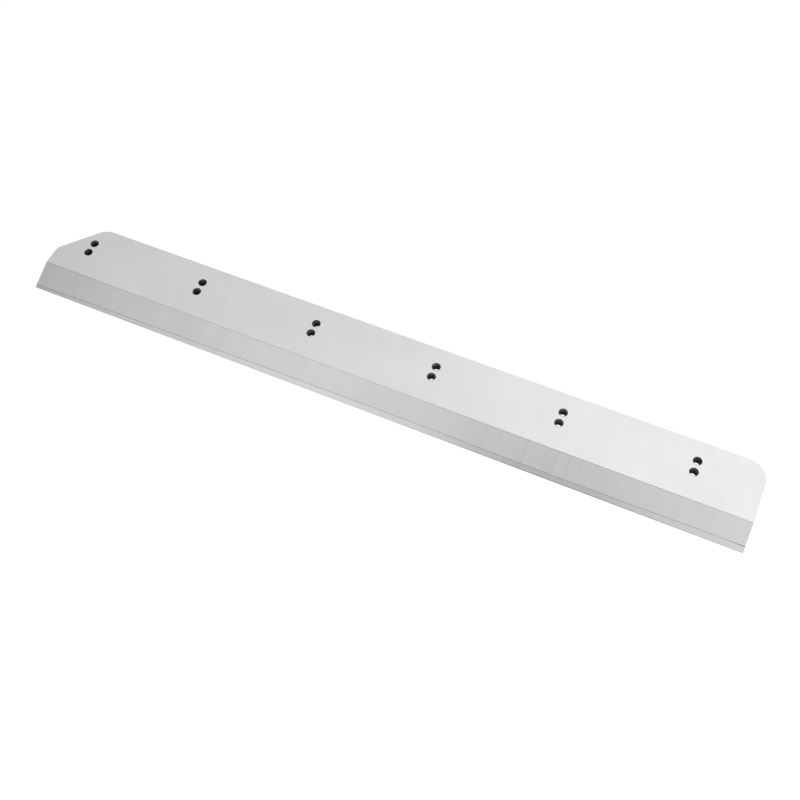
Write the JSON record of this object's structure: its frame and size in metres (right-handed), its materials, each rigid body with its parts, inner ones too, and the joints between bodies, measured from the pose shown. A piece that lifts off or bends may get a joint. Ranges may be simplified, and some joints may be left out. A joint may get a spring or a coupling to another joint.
{
  "type": "paper cutter blade",
  "caption": "Long straight guillotine knife with a ground bevel, an inlaid cutting strip, a clipped and a rounded back corner, and tapped mounting holes in pairs.",
  "frame": {"origin": "under the middle of the blade's length and width, on its flat back, which lies down", "axes": "+X along the blade from the clipped end to the round-cornered end, +Y across it from the cutting edge to the back edge, +Z through the thickness from the flat back to the bevel side"},
  "size_m": [0.861, 0.101, 0.0127],
  "materials": {
    "carrier_steel": "surface ground, fine grinding lines across the blade",
    "inlay_steel": "surface ground and honed at the edge"
  },
  "bodies": {
    "root": {"carrier": "carrier_steel", "cutting_inlay": "inlay_steel"}
  },
  "joints": []
}
